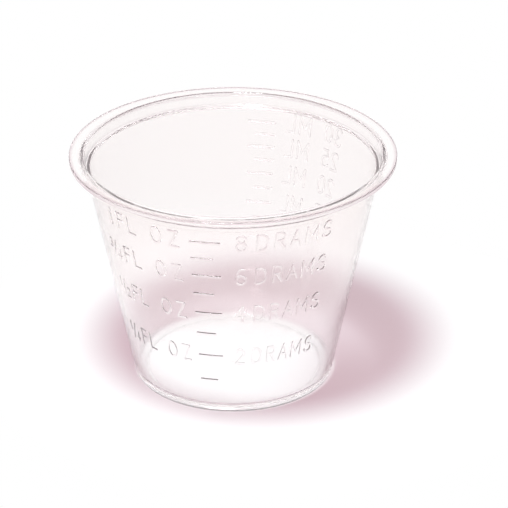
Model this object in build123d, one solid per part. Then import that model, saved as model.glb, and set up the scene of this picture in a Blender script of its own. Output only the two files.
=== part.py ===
from build123d import *
import os
from math import pi, sqrt

# Medicine cup, moulded in one shot from thin translucent polypropylene.
# The origin is at the centre of the standing ring and +Z is up, in millimetres.
# The ounce and dram scale faces -Y and the millilitre scale faces +Y.

# Outer form
rim_diameter = 48.4
cup_height = 35.7
base_diameter = 30.3
wall = 0.65                  # measured square to the wall, the same from the floor to the lip
heel_radius = 0.3            # outer edge of the base

# Floor and standing ring
floor_thickness = 0.65
floor_lift = 0.35            # recess that keeps the floor off the table
ring_width = 1.3             # flat that the cup stands on
recess_edge = 0.25
floor_corner = 0.8           # inside, where the floor meets the wall
gate_diameter = 1.6          # sprue mark left in the recess
gate_height = 0.15

# Stacking ledge: the wall steps outward and goes on as a collar under the lip
ledge_depth = 1.85           # from the rim down to the ledge
ledge_step = 0.55
ledge_corner = 0.2
ledge_edge = 0.3

# Lip
lip_width = 1.63             # from the collar out to the rim
lip_thickness = 0.7
lip_edge = 0.15
mouth_edge = 0.3
lip_root = 0.35

# Scale marks, raised on the outside of the wall
mark_height = 0.5            # width of a mark's foot, along the wall
mark_raise = 0.2
mark_draft = 0.1             # each long side leans in by this much
long_mark = 12.0             # degrees round the wall
short_mark = 8.9
dram_column = -17.0          # where the marks begin, in degrees round from -Y towards +X
millilitre_column = 161.5

# Scales: the top millilitre mark lies just under the collar, where this cup holds 30 ml.
# Every other mark is a share of that volume.
scale_gap = 1.87             # from the collar's lower edge down to the top millilitre mark
last_millilitre = 30.0
millilitre_step = 2.5
millilitres_in_dram = 3.6967
dram_count = 8
long_every = 2               # every second mark of either scale is a long one

# Worked out from the sizes above
base_radius = base_diameter / 2
rim_radius = rim_diameter / 2
floor_top = floor_lift + floor_thickness
ledge_top = cup_height - ledge_depth
shoulder_bottom = ledge_top - wall
lip_bottom = cup_height - lip_thickness
slope = (rim_radius - lip_width - ledge_step - base_radius) / lip_bottom   # outward run over rise
wall_across = wall * sqrt(1 + slope**2)         # the wall's thickness measured level
mark_root = wall / 2                            # how far a mark's foot runs into the wall


def outside(z):
    # Outer radius of the tapered wall at a height.
    return base_radius + slope * z


def inside(z):
    # Inner radius of the tapered wall at a height.
    return outside(z) - wall_across


def volume_below(level):
    # What the cup holds up to a level, as a cone's frustum in cubic millimetres.
    return pi * (inside(level) ** 3 - inside(floor_top) ** 3) / (3 * slope)


def fill_height(millilitres):
    # Height of the liquid's surface above the table at a reading of the millilitre scale.
    full_volume = volume_below(shoulder_bottom - scale_gap)
    volume = full_volume * millilitres / last_millilitre
    surface_radius = (inside(floor_top) ** 3 + 3 * slope * volume / pi) ** (1 / 3)
    return floor_top + (surface_radius - inside(floor_top)) / slope


def cup_section():
    # Half section of the cup, as radius and height, with the rounding at each corner.
    ring_inner = base_radius - heel_radius - ring_width
    corners = [
        ((0, floor_lift), 0),
        ((ring_inner - floor_lift, floor_lift), recess_edge),
        ((ring_inner, 0), 0),
        ((base_radius, 0), heel_radius),
        ((outside(shoulder_bottom), shoulder_bottom), ledge_corner),
        ((outside(shoulder_bottom) + ledge_step, shoulder_bottom), ledge_edge),
        ((outside(lip_bottom) + ledge_step, lip_bottom), lip_root),
        ((rim_radius, lip_bottom), lip_edge),
        ((rim_radius, cup_height), lip_edge),
        ((inside(cup_height) + ledge_step, cup_height), mouth_edge),
        ((inside(ledge_top) + ledge_step, ledge_top), ledge_corner),
        ((inside(ledge_top), ledge_top), ledge_edge),
        ((inside(floor_top), floor_top), floor_corner),
        ((0, floor_top), 0),
    ]
    points = [point for point, rounding in corners]
    roundings = [rounding for point, rounding in corners]
    return make_face(Plane.XZ * FilletPolyline(*points, radius=roundings, close=True))


def gate_mark():
    # Short stub in the middle of the recess, where the plastic was fed in.
    stub = Cylinder(
        gate_diameter / 2,
        gate_height + floor_thickness / 2,
        align=(Align.CENTER, Align.CENTER, Align.MIN),
    )
    return Pos(0, 0, floor_lift - gate_height) * stub


def scale_mark(millilitres, column, sweep):
    # One raised mark at the level of a reading, as a drafted bar bent round the wall.
    level = fill_height(millilitres)
    low = level - mark_height / 2
    high = level + mark_height / 2
    foot = [
        (outside(low) - mark_root, low),
        (outside(low), low),
        (outside(low) + mark_raise, low + mark_draft),
        (outside(high) + mark_raise, high - mark_draft),
        (outside(high), high),
        (outside(high) - mark_root, high),
    ]
    bar = make_face(Plane.XZ * Polyline(*foot, close=True))
    return Rot(0, 0, column - 90) * revolve(bar, Axis.Z, sweep)


def mark_sweep(number):
    # Marks alternate between short and long up the scale.
    return long_mark if number % long_every == 0 else short_mark


def dram_marks():
    return [
        scale_mark(number * millilitres_in_dram, dram_column, mark_sweep(number))
        for number in range(1, dram_count + 1)
    ]


def millilitre_marks():
    count = round(last_millilitre / millilitre_step)
    return [
        scale_mark(number * millilitre_step, millilitre_column, mark_sweep(number))
        for number in range(1, count + 1)
    ]


def cup():
    body = revolve(cup_section(), Axis.Z, 360)
    return body + gate_mark() + dram_marks() + millilitre_marks()


os.makedirs("parts", exist_ok=True)
export_step(cup(), "parts/cup.step")
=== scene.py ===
from math import atan, atan2, cos, hypot, pi, radians, sin, sqrt, tan

import bmesh
import bpy
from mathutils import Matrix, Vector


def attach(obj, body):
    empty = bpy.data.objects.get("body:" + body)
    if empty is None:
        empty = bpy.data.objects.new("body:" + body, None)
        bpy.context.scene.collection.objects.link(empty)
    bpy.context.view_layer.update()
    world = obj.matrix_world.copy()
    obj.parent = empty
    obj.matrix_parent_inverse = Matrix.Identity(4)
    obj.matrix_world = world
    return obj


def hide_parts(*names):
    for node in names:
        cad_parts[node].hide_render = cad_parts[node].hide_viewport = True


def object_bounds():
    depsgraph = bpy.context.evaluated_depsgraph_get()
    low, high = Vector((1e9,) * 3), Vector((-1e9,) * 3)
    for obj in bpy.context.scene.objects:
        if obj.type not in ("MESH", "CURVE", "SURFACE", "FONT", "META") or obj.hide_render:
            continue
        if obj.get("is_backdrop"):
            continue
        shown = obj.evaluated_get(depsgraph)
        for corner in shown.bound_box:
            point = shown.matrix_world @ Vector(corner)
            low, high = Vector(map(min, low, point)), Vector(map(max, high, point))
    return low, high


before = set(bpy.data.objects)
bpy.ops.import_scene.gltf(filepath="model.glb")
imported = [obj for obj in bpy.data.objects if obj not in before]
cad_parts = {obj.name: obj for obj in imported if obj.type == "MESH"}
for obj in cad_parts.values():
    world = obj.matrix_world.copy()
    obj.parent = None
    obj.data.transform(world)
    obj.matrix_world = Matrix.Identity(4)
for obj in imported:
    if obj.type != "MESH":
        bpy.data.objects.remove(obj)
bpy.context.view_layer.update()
mm = 0.001
mergeGap = 0.001 * mm        # points nearer than this become one

# The cup's own sizes in millimetres, as in the CAD model
cupForm = {
    "segments": 256,
    "rimRadius": 24.2,
    "height": 35.7,
    "baseRadius": 15.15,
    "wall": 0.65,
    "heelRound": 0.3,
    "floorThickness": 0.65,
    "floorLift": 0.35,
    "ringWidth": 1.3,
    "recessRound": 0.25,
    "floorRound": 0.8,
    "gateRadius": 0.8,
    "gateHeight": 0.15,
    "innerDisc": 0.6,        # radius of the small face that closes the floor in the middle
    "ledgeDepth": 1.85,
    "ledgeStep": 0.55,
    "ledgeCornerRound": 0.2,
    "ledgeEdgeRound": 0.3,
    "lipWidth": 1.63,
    "lipThickness": 0.7,
    "lipEdgeRound": 0.15,
    "mouthRound": 0.3,
    "lipRootRound": 0.35,
    "roundSteps": 8,
    "wallRings": 14,         # level cuts that keep the wall's faces short
    "ringsFrom": 2.2,
    "ringsBelowLedge": 1.0,
    "smoothAngle": 32,
}
floorTop = cupForm["floorLift"] + cupForm["floorThickness"]
ledgeTop = cupForm["height"] - cupForm["ledgeDepth"]
shoulder = ledgeTop - cupForm["wall"]
lipBottom = cupForm["height"] - cupForm["lipThickness"]
slope = (
    cupForm["rimRadius"] - cupForm["lipWidth"] - cupForm["ledgeStep"] - cupForm["baseRadius"]
) / lipBottom
wallAcross = cupForm["wall"] * sqrt(1 + slope**2)
taper = atan(slope)


def outside(height):
    return cupForm["baseRadius"] + slope * height


def inside(height):
    return outside(height) - wallAcross


def inMillimetres(lengths):
    return [round(length / mm, 3) for length in lengths]


def deselect():
    bpy.ops.object.select_all(action="DESELECT")


def choose(*pieces):
    # Selects these pieces alone and makes the first of them active
    deselect()
    for piece in pieces:
        piece.select_set(True)
    bpy.context.view_layer.objects.active = pieces[0]


def applyPlace():
    bpy.ops.object.transform_apply(location=True, rotation=True, scale=True)


def closeMesh():
    # In edit mode, merges the doubles and turns all faces outwards
    bpy.ops.mesh.select_all(action="SELECT")
    bpy.ops.mesh.remove_doubles(threshold=mergeGap)
    bpy.ops.mesh.normals_make_consistent(inside=False)


def selectVerts(test):
    # In edit mode, selects the vertices whose place passes a test, with the edges and faces between them
    bpy.ops.mesh.select_mode(type="VERT")
    bpy.ops.mesh.select_all(action="DESELECT")
    mesh = bmesh.from_edit_mesh(bpy.context.object.data)
    for vert in mesh.verts:
        vert.select = test(vert.co / mm)
    mesh.select_flush(True)
    bmesh.update_edit_mesh(bpy.context.object.data)


def onRing(radius, height, near=0.004):
    return lambda place: (
        abs(hypot(place.x, place.y) - radius) < near and abs(place.z - height) < near
    )


def sectionCorners():
    # Half section as radius, height and rounding, from the sprue mark underneath round to the floor's middle
    form = cupForm
    ringInner = form["baseRadius"] - form["heelRound"] - form["ringWidth"]
    return [
        (form["gateRadius"], form["floorLift"] - form["gateHeight"], 0),
        (form["gateRadius"], form["floorLift"], 0),
        (ringInner - form["floorLift"], form["floorLift"], form["recessRound"]),
        (ringInner, 0, 0),
        (form["baseRadius"], 0, form["heelRound"]),
        (outside(shoulder), shoulder, form["ledgeCornerRound"]),
        (outside(shoulder) + form["ledgeStep"], shoulder, form["ledgeEdgeRound"]),
        (outside(lipBottom) + form["ledgeStep"], lipBottom, form["lipRootRound"]),
        (form["rimRadius"], lipBottom, form["lipEdgeRound"]),
        (form["rimRadius"], form["height"], form["lipEdgeRound"]),
        (inside(form["height"]) + form["ledgeStep"], form["height"], form["mouthRound"]),
        (inside(ledgeTop) + form["ledgeStep"], ledgeTop, form["ledgeCornerRound"]),
        (inside(ledgeTop), ledgeTop, form["ledgeEdgeRound"]),
        (inside(floorTop), floorTop, form["floorRound"]),
        (form["innerDisc"], floorTop, 0),
    ]


def tangentLength(before, corner, after):
    # How far from a corner its rounding begins
    into = atan2(corner[1] - before[1], corner[0] - before[0])
    out = atan2(after[1] - corner[1], after[0] - corner[0])
    turn = abs((out - into + pi) % (2 * pi) - pi)
    return corner[2] * tan(turn / 2)


def makeShell():
    # Each corner of the section is drawn on as a ring and then rounded, and the wall is cut into level bands
    corners = sectionCorners()
    radius, height, _ = corners[0]
    deselect()
    bpy.ops.mesh.primitive_circle_add(
        vertices=cupForm["segments"],
        radius=radius * mm,
        fill_type="NOTHING",
        location=(0, 0, height * mm),
    )
    shell = bpy.context.object
    shell.name = "cupShell"
    applyPlace()
    bpy.ops.object.mode_set(mode="EDIT")
    bpy.ops.mesh.select_all(action="SELECT")
    bpy.ops.mesh.edge_face_add()
    bpy.ops.mesh.select_mode(type="EDGE")
    for nextRadius, nextHeight, _ in corners[1:]:
        selectVerts(onRing(radius, height))
        bpy.ops.mesh.extrude_edges_move(
            TRANSFORM_OT_translate={"value": (0, 0, (nextHeight - height) * mm)}
        )
        grow = nextRadius / radius
        bpy.ops.transform.resize(value=(grow, grow, 1), center_override=(0, 0, nextHeight * mm))
        radius, height = nextRadius, nextHeight
    selectVerts(onRing(radius, height))
    bpy.ops.mesh.edge_face_add()
    for before, corner, after in zip(corners, corners[1:], corners[2:]):
        if corner[2]:
            selectVerts(onRing(corner[0], corner[1]))
            bpy.ops.mesh.bevel(
                offset=tangentLength(before, corner, after) * mm, segments=cupForm["roundSteps"]
            )
    ringSpan = shoulder - cupForm["ringsBelowLedge"] - cupForm["ringsFrom"]
    for ring in range(1, cupForm["wallRings"] + 1):
        cutHeight = cupForm["ringsFrom"] + ringSpan * ring / cupForm["wallRings"]
        bpy.ops.mesh.select_all(action="SELECT")
        bpy.ops.mesh.bisect(plane_co=(0, 0, cutHeight * mm), plane_no=(0, 0, 1))
    closeMesh()
    bpy.ops.object.mode_set(mode="OBJECT")
    return shell


cup = makeShell()
print("stage shell:", len(cup.data.vertices), "points", inMillimetres(cup.dimensions))

# Scale marks and letters, raised on the outside of the wall. Angles run from -Y towards +X,
# so that they grow from left to right for someone who looks at the wall from outside.
scaleForm = {
    "markHeight": 0.5,
    "markRaise": 0.2,
    "markDraft": 0.1,
    "markRound": 0.08,
    "markRoundSteps": 3,
    "markRoot": 0.3,         # how far a mark reaches into the wall
    "longMark": 12.0,
    "shortMark": 8.9,
    "markSteps": 9,
    "dramColumn": -17.0,
    "millilitreColumn": 161.5,
    "scaleGap": 1.87,
    "lastMillilitre": 30.0,
    "millilitreStep": 2.5,
    "millilitresInDram": 3.6967,
    "dramCount": 8,
    "longEvery": 2,
}


def fillHeight(millilitres):
    # Level of the liquid at a reading, from the frustum inside the cup
    floorCube = inside(floorTop) ** 3
    full = inside(shoulder - scaleForm["scaleGap"]) ** 3 - floorCube
    share = millilitres / scaleForm["lastMillilitre"]
    return floorTop + ((floorCube + full * share) ** (1 / 3) - inside(floorTop)) / slope


def addMark(number, level, column):
    # A flat blank square to the wall, tapered and rounded on its outer edge and swept round
    form = scaleForm
    sweep = form["longMark"] if number % form["longEvery"] == 0 else form["shortMark"]
    depth = form["markRoot"] + form["markRaise"]
    middle = outside(level) + form["markRaise"] - depth / 2
    centre = (0, -middle * mm, level * mm)
    deselect()
    bpy.ops.mesh.primitive_plane_add(size=mm, location=centre, rotation=(0, pi / 2, 0))
    mark = bpy.context.object
    applyPlace()
    bpy.ops.object.mode_set(mode="EDIT")
    bpy.ops.mesh.select_all(action="SELECT")
    bpy.ops.transform.resize(value=(1, depth, form["markHeight"]), center_override=centre)
    selectVerts(lambda place: place.y < -middle)
    draft = 1 - 2 * form["markDraft"] / form["markHeight"]
    bpy.ops.transform.resize(value=(1, 1, draft), center_override=centre)
    bpy.ops.mesh.bevel(
        offset=form["markRound"] * mm, segments=form["markRoundSteps"], affect="VERTICES"
    )
    bpy.ops.mesh.select_all(action="SELECT")
    bpy.ops.transform.rotate(
        value=-taper, orient_axis="X", center_override=(0, -outside(level) * mm, level * mm)
    )
    bpy.ops.mesh.spin(
        steps=form["markSteps"], angle=-radians(sweep), center=(0, 0, 0), axis=(0, 0, 1)
    )
    closeMesh()
    bpy.ops.object.mode_set(mode="OBJECT")
    mark.rotation_euler.z = radians(column)
    applyPlace()
    return mark


raised = []
for number in range(1, scaleForm["dramCount"] + 1):
    level = fillHeight(number * scaleForm["millilitresInDram"])
    raised.append(addMark(number, level, scaleForm["dramColumn"]))
for number in range(1, round(scaleForm["lastMillilitre"] / scaleForm["millilitreStep"]) + 1):
    level = fillHeight(number * scaleForm["millilitreStep"])
    raised.append(addMark(number, level, scaleForm["millilitreColumn"]))
print("stage marks:", len(raised))

# Letters are rounded beads of one width, as a ball cutter leaves them in a mould
letterForm = {
    "height": 2.67,          # between the middles of the top and bottom beads
    "stroke": 0.38,
    "secondStroke": 0.95,    # every other bead is a little thinner and lower, so that no two faces coincide
    "strokeDrop": 0.008,
    "tipSteps": ((0.5, 0.87), (0.87, 0.5), (1.0, 0.05)),    # way out and width of a round tip, in half widths
    "arcStep": 18,           # degrees between the points of a curved stroke
    "beadSides": 4,          # curve bevel resolution
    "sameSpot": 1e-6,        # ends of a stroke that are nearer than this meet
    "flatten": 0.62,         # a bead stands out less than half its width
    "sink": 0.01,            # a bead's middle lies this far under the wall's face
}


def bow(centreX, centreY, wide, high, start, end):
    # Points along part of an ellipse, in degrees counter-clockwise from the right
    count = max(2, round(abs(end - start) / letterForm["arcStep"]))
    angles = [radians(start + (end - start) * step / count) for step in range(count + 1)]
    return [(centreX + wide * cos(angle), centreY + high * sin(angle)) for angle in angles]


# Strokes of each sign as points in letter heights, from the lower left corner
narrow, broad = 0.56, 0.66
signs = {
    "A": [
        [(0, 0), (broad / 2, 1)],
        [(broad, 0), (broad / 2, 1)],
        [(0.12, 0.34), (broad - 0.12, 0.34)],
    ],
    "D": [[(0, 0), (0, 1)], [(0, 1), *bow(0.2, 0.5, 0.4, 0.5, 90, -90), (0, 0)]],
    "F": [[(0, 0), (0, 1)], [(0, 1), (0.52, 1)], [(0, 0.54), (0.42, 0.54)]],
    "L": [[(0, 1), (0, 0)], [(0, 0), (0.5, 0)]],
    "M": [
        [(0, 0), (0, 1)],
        [(0, 1), (0.38, 0.3)],
        [(0.38, 0.3), (0.76, 1)],
        [(0.76, 1), (0.76, 0)],
    ],
    "O": [bow(broad / 2, 0.5, broad / 2, 0.5, 90, 450)],
    "R": [
        [(0, 0), (0, 1)],
        [(0, 1), *bow(0.26, 0.75, 0.26, 0.25, 90, -90), (0, 0.5)],
        [(0.22, 0.5), (0.54, 0)],
    ],
    "S": [[*bow(0.28, 0.75, 0.26, 0.25, 20, 270), *bow(0.28, 0.25, 0.28, 0.25, 80, -160)]],
    "Z": [[(0, 1), (0.56, 1)], [(0.56, 1), (0, 0)], [(0, 0), (0.56, 0)]],
    "0": [bow(narrow / 2, 0.5, narrow / 2, 0.5, 90, 450)],
    "1": [[(0.12, 0), (0.12, 1)], [(0.12, 1), (0, 0.82)]],
    "2": [[*bow(0.28, 0.74, 0.27, 0.26, 165, -30), (0, 0)], [(0, 0), (0.56, 0)]],
    "3": [bow(0.26, 0.75, 0.24, 0.25, 150, -90), bow(0.26, 0.25, 0.28, 0.25, 90, -150)],
    "4": [[(0.42, 0), (0.42, 1)], [(0.42, 1), (0, 0.3)], [(0, 0.3), (0.58, 0.3)]],
    "5": [
        [(0.5, 1), (0.08, 1)],
        [(0.08, 1), (0.04, 0.56)],
        [(0.04, 0.56), *bow(0.26, 0.31, 0.28, 0.31, 120, -150)],
    ],
    "6": [bow(0.28, 0.29, 0.28, 0.29, 90, 450), [(0, 0.29), *bow(0.34, 0.5, 0.34, 0.5, 170, 70)]],
    "8": [bow(0.28, 0.76, 0.24, 0.24, 90, 450), bow(0.28, 0.26, 0.28, 0.26, 90, 450)],
    "/": [[(0, -0.1), (0.4, 1.1)]],
}


def roundTip(end, neighbour, halfWidth):
    # Places and widths beyond the end of a bead, out to its tip
    alongX, alongY = end[0] - neighbour[0], end[1] - neighbour[1]
    length = hypot(alongX, alongY)
    return [
        ((end[0] + alongX / length * halfWidth * out, end[1] + alongY / length * halfWidth * out), width)
        for out, width in letterForm["tipSteps"]
    ]


def addStroke(points, closed, order):
    # One bead with round ends, lying in the X-Y plane
    halfWidth = letterForm["stroke"] / 2 * (letterForm["secondStroke"] if order % 2 else 1)
    high = letterForm["height"]
    places = [((x * high, y * high), 1.0) for x, y in points]
    if closed:
        places = places[:-1]
    else:
        firstTip = roundTip(places[0][0], places[1][0], halfWidth)
        lastTip = roundTip(places[-1][0], places[-2][0], halfWidth)
        places = firstTip[::-1] + places + lastTip
    curve = bpy.data.curves.new("bead", "CURVE")
    curve.dimensions = "3D"
    curve.bevel_depth = halfWidth * mm
    curve.bevel_resolution = letterForm["beadSides"]
    curve.use_fill_caps = True
    spline = curve.splines.new("POLY")
    spline.points.add(len(places) - 1)
    for point, (place, width) in zip(spline.points, places):
        point.co = (place[0] * mm, place[1] * mm, -order * letterForm["strokeDrop"] * mm, 1)
        point.radius = width
    spline.use_cyclic_u = closed
    bead = bpy.data.objects.new("bead", curve)
    bpy.context.collection.objects.link(bead)
    choose(bead)
    bpy.ops.object.convert(target="MESH")
    bpy.ops.object.mode_set(mode="EDIT")
    closeMesh()
    bpy.ops.object.mode_set(mode="OBJECT")
    return bpy.context.object


def unite(piece, others, solver):
    # Boolean union of a piece with others, which are used up
    choose(piece)
    for other in others:
        union = piece.modifiers.new("unite", "BOOLEAN")
        union.operation = "UNION"
        union.solver = solver
        union.object = other
        bpy.ops.object.modifier_apply(modifier="unite")
        bpy.data.objects.remove(other, do_unlink=True)


def makeSign(sign):
    beads = []
    for order, points in enumerate(signs[sign]):
        apart = hypot(points[0][0] - points[-1][0], points[0][1] - points[-1][1])
        beads.append(addStroke(points, apart < letterForm["sameSpot"], order))
    unite(beads[0], beads[1:], "EXACT")
    return beads[0]


scaleText = {
    "dramRows": (8, 6, 4, 2),
    "dramDigit": 3.1,
    "dramWord": (("D", 11.4), ("R", 18.4), ("A", 24.9), ("M", 32.0), ("S", 39.3)),
    "ounceWord": (("F", -49.6), ("L", -43.6), ("O", -31.3), ("Z", -23.6)),
    "ounces": {8: "1", 6: "34", 4: "12", 2: "14"},    # a whole number, or the two figures of a fraction
    "wholeOunce": -56.3,
    "fraction": (-61.2, -58.4, -55.4),    # upper figure, stroke and lower figure
    "fractionSize": 0.58,
    "fractionShift": 0.62,
    "fractionStroke": 0.86,
    "millilitreRows": (30, 25, 20, 15, 10, 5),
    "millilitreDigits": (129.9, 135.6),
    "millilitreWord": (("M", 147.9), ("L", 154.7)),
    "millilitreLift": 0.3,
    "width": 0.93,           # of the signs at the top radius, and less below it, where the wall is narrower
    "topRadius": 21.2,
}
masters = {}


def addSign(sign, azimuth, level, size=1.0):
    # A copy of the sign, stood against the tapered wall
    if sign not in masters:
        master = makeSign(sign)
        low = [min(vert.co[axis] for vert in master.data.vertices) for axis in (0, 1)]
        high = [max(vert.co[axis] for vert in master.data.vertices) for axis in (0, 1)]
        master.location = (-(low[0] + high[0]) / 2, -(low[1] + high[1]) / 2, 0)
        applyPlace()
        masters[sign] = master
    choose(masters[sign])
    bpy.ops.object.duplicate(linked=False)
    letter = bpy.context.object
    radius = outside(level) - letterForm["sink"]
    turn = radians(azimuth)
    wide = scaleText["width"] * outside(level) / scaleText["topRadius"]
    letter.scale = (wide * size, size, letterForm["flatten"])
    letter.rotation_euler = (pi / 2 + taper, 0, turn)
    letter.location = (radius * sin(turn) * mm, -radius * cos(turn) * mm, level * mm)
    applyPlace()
    return letter


def addOunces(figures, level):
    # The whole ounce, or a fraction with a slanted stroke
    text = scaleText
    if len(figures) == 1:
        return [addSign(figures, text["wholeOunce"], level)]
    upper, stroke, lower = text["fraction"]
    return [
        addSign(figures[0], upper, level + text["fractionShift"], text["fractionSize"]),
        addSign("/", stroke, level, text["fractionStroke"]),
        addSign(figures[1], lower, level - text["fractionShift"], text["fractionSize"]),
    ]


for dram in scaleText["dramRows"]:
    level = fillHeight(dram * scaleForm["millilitresInDram"])
    dramSign = (str(dram), scaleText["dramDigit"])
    for sign, azimuth in (dramSign, *scaleText["dramWord"], *scaleText["ounceWord"]):
        raised.append(addSign(sign, azimuth, level))
    raised.extend(addOunces(scaleText["ounces"][dram], level))
for reading in scaleText["millilitreRows"]:
    level = fillHeight(reading) + scaleText["millilitreLift"]
    for sign, azimuth in scaleText["millilitreWord"]:
        raised.append(addSign(sign, azimuth, level))
    for sign, azimuth in zip(reversed(str(reading)), reversed(scaleText["millilitreDigits"])):
        raised.append(addSign(sign, azimuth, level))
for master in masters.values():
    bpy.data.objects.remove(master, do_unlink=True)
print("stage letters:", len(raised), "raised pieces")

choose(*raised)
bpy.ops.object.join()
unite(cup, [bpy.context.object], "MANIFOLD")
choose(cup)
bpy.ops.object.shade_smooth_by_angle(angle=radians(cupForm["smoothAngle"]))
print("stage union:", len(cup.data.vertices), "points", inMillimetres(cup.dimensions))
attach(cup, "root")
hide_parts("cup")

# Clear plastic, faintly clouded, with painted light low down and painted shade on the rim, the folds and
# faces seen edge on. Lengths are in metres here, and facing runs from 0, seen square on, to 1
plasticLook = {
    "ior": 1.49,
    "transmission": 0.94,
    # painted light: the colour turns to this white low down, where lamp light through the mouth falls
    "white": (1, 1, 1, 1),                         # low down on the wall and in the floor
    "clear": (1.0, 0.985, 0.978, 1),
    "cloudy": (0.99, 0.955, 0.945, 1),
    "cloudSize": 55,
    "cloudDetail": 3.0,
    "roughLow": 0.06,                              # both stay below 0.27, or the denoiser draws contour lines
    "roughHigh": 0.12,
    "grainSize": 900,
    "grainDetail": 2.0,
    "grainHeight": 0.05,
    "grainDepth": 0.0001,
    # painted shade: the rim is darkened to this where its outermost faces turn away
    "rim": (0.66, 0.52, 0.56, 1),                  # outermost faces, where they turn away
    "rimFrom": 0.0236,
    "rimTo": 0.0241,
    "sideFrom": 0.1,
    "sideTo": 0.6,
    # painted shade: dark lines laid on the rounded edges of the lip and the ledge
    "foldShade": (0.55, 0.44, 0.47, 1),                 # rounded edges of the lip and the ledge
    "foldRamp": ((0.30, 0), (0.55, 1), (0.85, 1), (0.97, 0)),    # share by how level a face lies
    "foldFrom": 0.0226,
    "foldTo": 0.0238,
    "foldInside": 0.35,
    # painted shade: outer faces seen edge on are darkened to this
    "edge": (0.62, 0.38, 0.40, 1),                 # outer faces seen edge on
    "edgeFrom": 0.9,
    "edgeTo": 1.0,
    "floorShade": (1, 1, 1, 1),                    # how much light comes through each part
    "lowShade": (0.90, 0.82, 0.85, 1),
    "highShade": (0.71, 0.585, 0.62, 1),
    "lipShade": (0.86, 0.78, 0.82, 1),
    "floorLevel": 0.0012,
    "lowLevel": 0.007,
    "highLevel": 0.022,
    "lipRadius": 0.02275,
    "slantFrom": 0.5,
    "slantTo": 0.72,
    "letOut": (0.985, 0.96, 0.96, 1),
    "caughtDepth": 5.5,                            # ray depth past which light caught in the wall is let out
}
scatteredDepth = 0.5         # below this diffuse depth, no surface has scattered the ray


def emptyTree(owner):
    owner.use_nodes = True
    owner.node_tree.nodes.clear()
    return owner.node_tree


def addNode(tree, kind, place, inputs=None, **settings):
    # An input is a value, or another node's output, which is linked
    node = tree.nodes.new("ShaderNode" + kind)
    node.location = place
    for name, value in settings.items():
        setattr(node, name, value)
    for socket, value in (inputs or {}).items():
        if isinstance(value, bpy.types.NodeSocket):
            tree.links.new(value, node.inputs[socket])
        else:
            node.inputs[socket].default_value = value
    return node


def addMath(tree, place, operation, *values):
    return addNode(tree, "Math", place, dict(enumerate(values)), operation=operation).outputs["Value"]


def addRange(tree, place, value, limits, ease="LINEAR", reach=(0.0, 1.0)):
    # Maps a value between two limits to a share, or to another reach
    inputs = {"Value": value, "From Min": limits[0], "From Max": limits[1]}
    inputs.update({"To Min": reach[0], "To Max": reach[1]})
    return addNode(tree, "MapRange", place, inputs, interpolation_type=ease).outputs["Result"]


def addTint(tree, place, share, first, second):
    # Goes over from the first colour to the second with the share
    return addNode(tree, "Mix", place, {0: share, 6: first, 7: second}, data_type="RGBA").outputs[2]


def addNoise(tree, place, spot, size, detail):
    inputs = {"Vector": spot, "Scale": size, "Detail": detail}
    return addNode(tree, "TexNoise", place, inputs).outputs["Fac"]


def addRamp(tree, place, share, stops):
    ramp = addNode(tree, "ValToRGB", place, {"Fac": share})
    for position, _ in stops[2:]:    # a new ramp has two stops already
        ramp.color_ramp.elements.new(position)
    for element, (position, value) in zip(ramp.color_ramp.elements, stops):
        element.position = position
        element.color = (value, value, value, 1)
    return ramp.outputs["Color"]


def plasticColour(tree, normal, facing, radius, climb, cloud):
    # Painted light: white low down on the wall and in the floor, faintly clouded above
    look = plasticLook
    body = addTint(tree, (-900, 300), cloud, look["clear"], look["cloudy"])
    paintedLightLow = addTint(tree, (-700, 300), climb, look["white"], body)

    # Painted shade on the rim: darker where its outermost faces turn away
    outermost = addRange(tree, (-900, 50), radius, (look["rimFrom"], look["rimTo"]))
    sideways = addRange(tree, (-900, -100), facing, (look["sideFrom"], look["sideTo"]))
    rimShare = addMath(tree, (-700, 0), "MULTIPLY", outermost, sideways)
    rimmed = addTint(tree, (-500, 300), rimShare, paintedLightLow, look["rim"])

    # Painted shade on the rounded edges of the lip and the ledge, found by how level their faces lie
    tilt = addNode(tree, "SeparateXYZ", (-1300, 1000), {"Vector": normal})
    level = addMath(tree, (-1100, 1000), "ABSOLUTE", tilt.outputs["Z"])
    foldShade = addRamp(tree, (-900, 1000), level, look["foldRamp"])
    foldLimits = (look["foldFrom"], look["foldTo"])
    outward = addRange(
        tree, (-900, 1250), radius, foldLimits, ease="SMOOTHSTEP", reach=(look["foldInside"], 1.0)
    )
    foldShare = addMath(tree, (-500, 1100), "MULTIPLY", foldShade, outward)
    folded = addTint(tree, (-300, 300), foldShare, rimmed, look["foldShade"])

    # Painted shade on outer faces seen edge on
    inner = addNode(tree, "NewGeometry", (-1100, 750))
    outer = addMath(tree, (-900, 750), "SUBTRACT", 1.0, inner.outputs["Backfacing"])
    edge = addRange(tree, (-900, 550), facing, (look["edgeFrom"], look["edgeTo"]))
    edgeShare = addMath(tree, (-700, 650), "MULTIPLY", edge, outer)
    return addTint(tree, (-100, 300), edgeShare, folded, look["edge"])


def plasticShade(tree, facing, radius, height, climb):
    # The floor lets all light through, the wall less with its height and where light meets it at a slant
    look = plasticLook
    slantLimits = (look["slantFrom"], look["slantTo"])
    slant = addRange(tree, (-900, -950), facing, slantLimits, ease="SMOOTHSTEP")
    darker = addMath(tree, (-700, -850), "MAXIMUM", climb, slant)
    wall = addTint(tree, (-500, -600), darker, look["lowShade"], look["highShade"])
    onLip = addMath(tree, (-700, -1100), "GREATER_THAN", radius, look["lipRadius"])
    lipped = addTint(tree, (-300, -600), onLip, wall, look["lipShade"])
    aboveFloor = addMath(tree, (-700, -600), "GREATER_THAN", height, look["floorLevel"])
    return addTint(tree, (-100, -600), aboveFloor, look["floorShade"], lipped)


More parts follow.
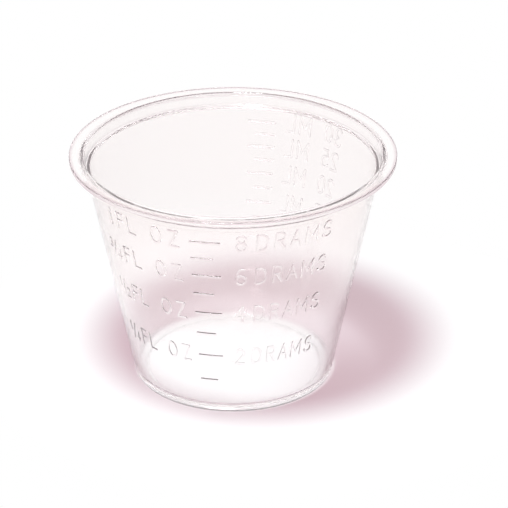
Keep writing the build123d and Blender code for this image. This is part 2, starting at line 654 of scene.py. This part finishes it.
def makePlastic():
    look = plasticLook
    material = bpy.data.materials.new("translucentPlastic")
    tree = emptyTree(material)
    spot = addNode(tree, "TexCoord", (-1700, 0)).outputs
    facing = addNode(tree, "LayerWeight", (-1300, 500)).outputs["Facing"]
    flat = addNode(
        tree, "VectorMath", (-1500, -350), {0: spot["Object"], 1: (1, 1, 0)}, operation="MULTIPLY"
    )
    away = addNode(tree, "VectorMath", (-1300, -350), {0: flat.outputs["Vector"]}, operation="LENGTH")
    radius = away.outputs["Value"]
    height = addNode(tree, "SeparateXYZ", (-1500, -600), {"Vector": spot["Object"]}).outputs["Z"]
    climbLimits = (look["lowLevel"], look["highLevel"])
    climb = addRange(tree, (-1300, -600), height, climbLimits, ease="SMOOTHSTEP")

    cloud = addNoise(tree, (-1300, 200), spot["Object"], look["cloudSize"], look["cloudDetail"])
    grain = addNoise(tree, (-500, -200), spot["Object"], look["grainSize"], look["grainDetail"])
    rough = addRange(
        tree, (-500, 50), cloud, (0.0, 1.0), reach=(look["roughLow"], look["roughHigh"])
    )
    bumpInputs = {"Strength": look["grainHeight"], "Distance": look["grainDepth"], "Height": grain}
    bump = addNode(tree, "Bump", (-300, -200), bumpInputs)
    plastic = addNode(tree, "BsdfPrincipled", (100, 100), {
        "Base Color": plasticColour(tree, spot["Normal"], facing, radius, climb, cloud),
        "Roughness": rough,
        "IOR": look["ior"],
        "Transmission Weight": look["transmission"],
        "Normal": bump.outputs["Normal"],
    })

    # Lamp light and light that the floor has scattered pass straight through, dimmed by the shade, and
    # light caught inside the wall is let out after a few turns instead of going black
    rays = addNode(tree, "LightPath", (-700, -1400)).outputs
    scattered = addMath(tree, (-500, -1300), "GREATER_THAN", rays["Diffuse Depth"], scatteredDepth)
    shaded = addMath(tree, (-300, -1300), "MAXIMUM", rays["Is Shadow Ray"], scattered)
    caught = addMath(tree, (-300, -1500), "GREATER_THAN", rays["Ray Depth"], look["caughtDepth"])
    through = addMath(tree, (-100, -1400), "MAXIMUM", caught, shaded)
    shade = plasticShade(tree, facing, radius, height, climb)
    passing = addTint(tree, (100, -600), shaded, look["letOut"], shade)
    lit = addNode(tree, "BsdfTransparent", (300, -300), {"Color": passing})
    mix = addNode(
        tree, "MixShader", (500, 100), {0: through, 1: plastic.outputs["BSDF"], 2: lit.outputs["BSDF"]}
    )
    addNode(tree, "OutputMaterial", (700, 100), {"Surface": mix.outputs["Shader"]})
    return material


cup.data.materials.clear()    # the union leaves an empty slot
cup.data.materials.append(makePlastic())
print("stage plastic")

stageForm = {
    "floorSize": 4.0,
    "floorColour": (0.975, 0.975, 0.975, 1),
    "fibreColour": (0.965, 0.965, 0.965, 1),
    "fibreSize": 900,
    "fibreDetail": 4.0,
    "paperMiddle": (0.006, 0.009, 0),
    "paperFrom": 0.036,      # from here the paper goes over into the white surround
    "paperTo": 0.048,
    "lampPower": 1.1,
    "lampSize": 85,
    "lampPlace": (-40.0, -78.0, 330.0),
    "surround": (1, 1, 1, 1),
    "fill": (0.27, 0.265, 0.27, 1),
}


def makePaper():
    # White paper that takes the shadow, and goes over into the white surround away from the cup
    look = stageForm
    material = bpy.data.materials.new("paper")
    tree = emptyTree(material)
    spot = addNode(tree, "TexCoord", (-1300, 0)).outputs["Object"]
    fibre = addNoise(tree, (-1050, 200), spot, look["fibreSize"], look["fibreDetail"])
    tint = addTint(tree, (-600, 200), fibre, look["floorColour"], look["fibreColour"])
    sheet = addNode(tree, "BsdfDiffuse", (-300, 200), {"Color": tint})
    away = addNode(
        tree, "VectorMath", (-1050, -200), {0: spot, 1: look["paperMiddle"]}, operation="DISTANCE"
    )
    paperLimits = (look["paperFrom"], look["paperTo"])
    beyond = addRange(tree, (-800, -200), away.outputs["Value"], paperLimits, ease="SMOOTHSTEP")
    rays = addNode(tree, "LightPath", (-1050, -500)).outputs
    direct = addMath(tree, (-800, -500), "LESS_THAN", rays["Diffuse Depth"], scatteredDepth)
    share = addMath(tree, (-550, -300), "MULTIPLY", beyond, direct)
    white = addNode(tree, "Emission", (-300, -100))
    mix = addNode(
        tree, "MixShader", (0, 0), {0: share, 1: sheet.outputs["BSDF"], 2: white.outputs["Emission"]}
    )
    addNode(tree, "OutputMaterial", (200, 0), {"Surface": mix.outputs["Shader"]})
    return material


deselect()
bpy.ops.mesh.primitive_plane_add(size=stageForm["floorSize"], location=(0, 0, 0))
floor = bpy.context.object
floor.name = "floor"
floor.data.materials.append(makePaper())
floor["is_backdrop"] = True

# One round lamp close above, so that the shadow is wider than the rim
lampX, lampY, lampZ = stageForm["lampPlace"]
bpy.ops.object.light_add(
    type="AREA",
    location=(lampX * mm, lampY * mm, lampZ * mm),
    rotation=(atan2(-lampY, hypot(lampX, lampZ)), atan2(lampX, lampZ), 0),
)
lamp = bpy.context.object
lamp.data.shape = "DISK"
lamp.data.size = stageForm["lampSize"] * mm
lamp.data.energy = stageForm["lampPower"]
lamp.visible_transmission = False    # the plastic's own shade sets how much light comes through

# White where it is seen, and a dim fill for light that a surface scatters
world = bpy.data.worlds.new("surround")
bpy.context.scene.world = world
tree = emptyTree(world)
seen = addNode(tree, "Background", (-300, -100), {"Color": stageForm["surround"]})
fill = addNode(tree, "Background", (-300, 100), {"Color": stageForm["fill"]})
rays = addNode(tree, "LightPath", (-700, 300)).outputs
direct = addMath(tree, (-500, 300), "LESS_THAN", rays["Diffuse Depth"], scatteredDepth)
mix = addNode(
    tree, "MixShader", (0, 0), {0: direct, 1: fill.outputs["Background"], 2: seen.outputs["Background"]}
)
addNode(tree, "OutputWorld", (200, 0), {"Surface": mix.outputs["Shader"]})
print("stage light")

# Camera, fitted to the rims and outlines
viewForm = {
    "distance": 363.1,
    "elevation": 26.93,
    "lookHeight": 18.66,
    "lens": 170.8,
    "sensor": 36,
    "shiftX": 0.0407,
    "roll": -0.21,
    "clipStart": 0.01,
}
elevation = radians(viewForm["elevation"])
bpy.ops.object.camera_add(
    location=(
        0,
        -viewForm["distance"] * cos(elevation) * mm,
        (viewForm["lookHeight"] + viewForm["distance"] * sin(elevation)) * mm,
    ),
    rotation=(pi / 2 - elevation, 0, 0),
)
camera = bpy.context.object
camera.rotation_euler.rotate_axis("Z", radians(viewForm["roll"]))
camera.data.lens = viewForm["lens"]
camera.data.sensor_width = viewForm["sensor"]
camera.data.shift_x = viewForm["shiftX"]
camera.data.clip_start = viewForm["clipStart"]
bpy.context.scene.camera = camera
bpy.context.scene.view_settings.view_transform = "Standard"

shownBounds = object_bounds()
print("stage view:", inMillimetres(length for corner in shownBounds for length in corner))
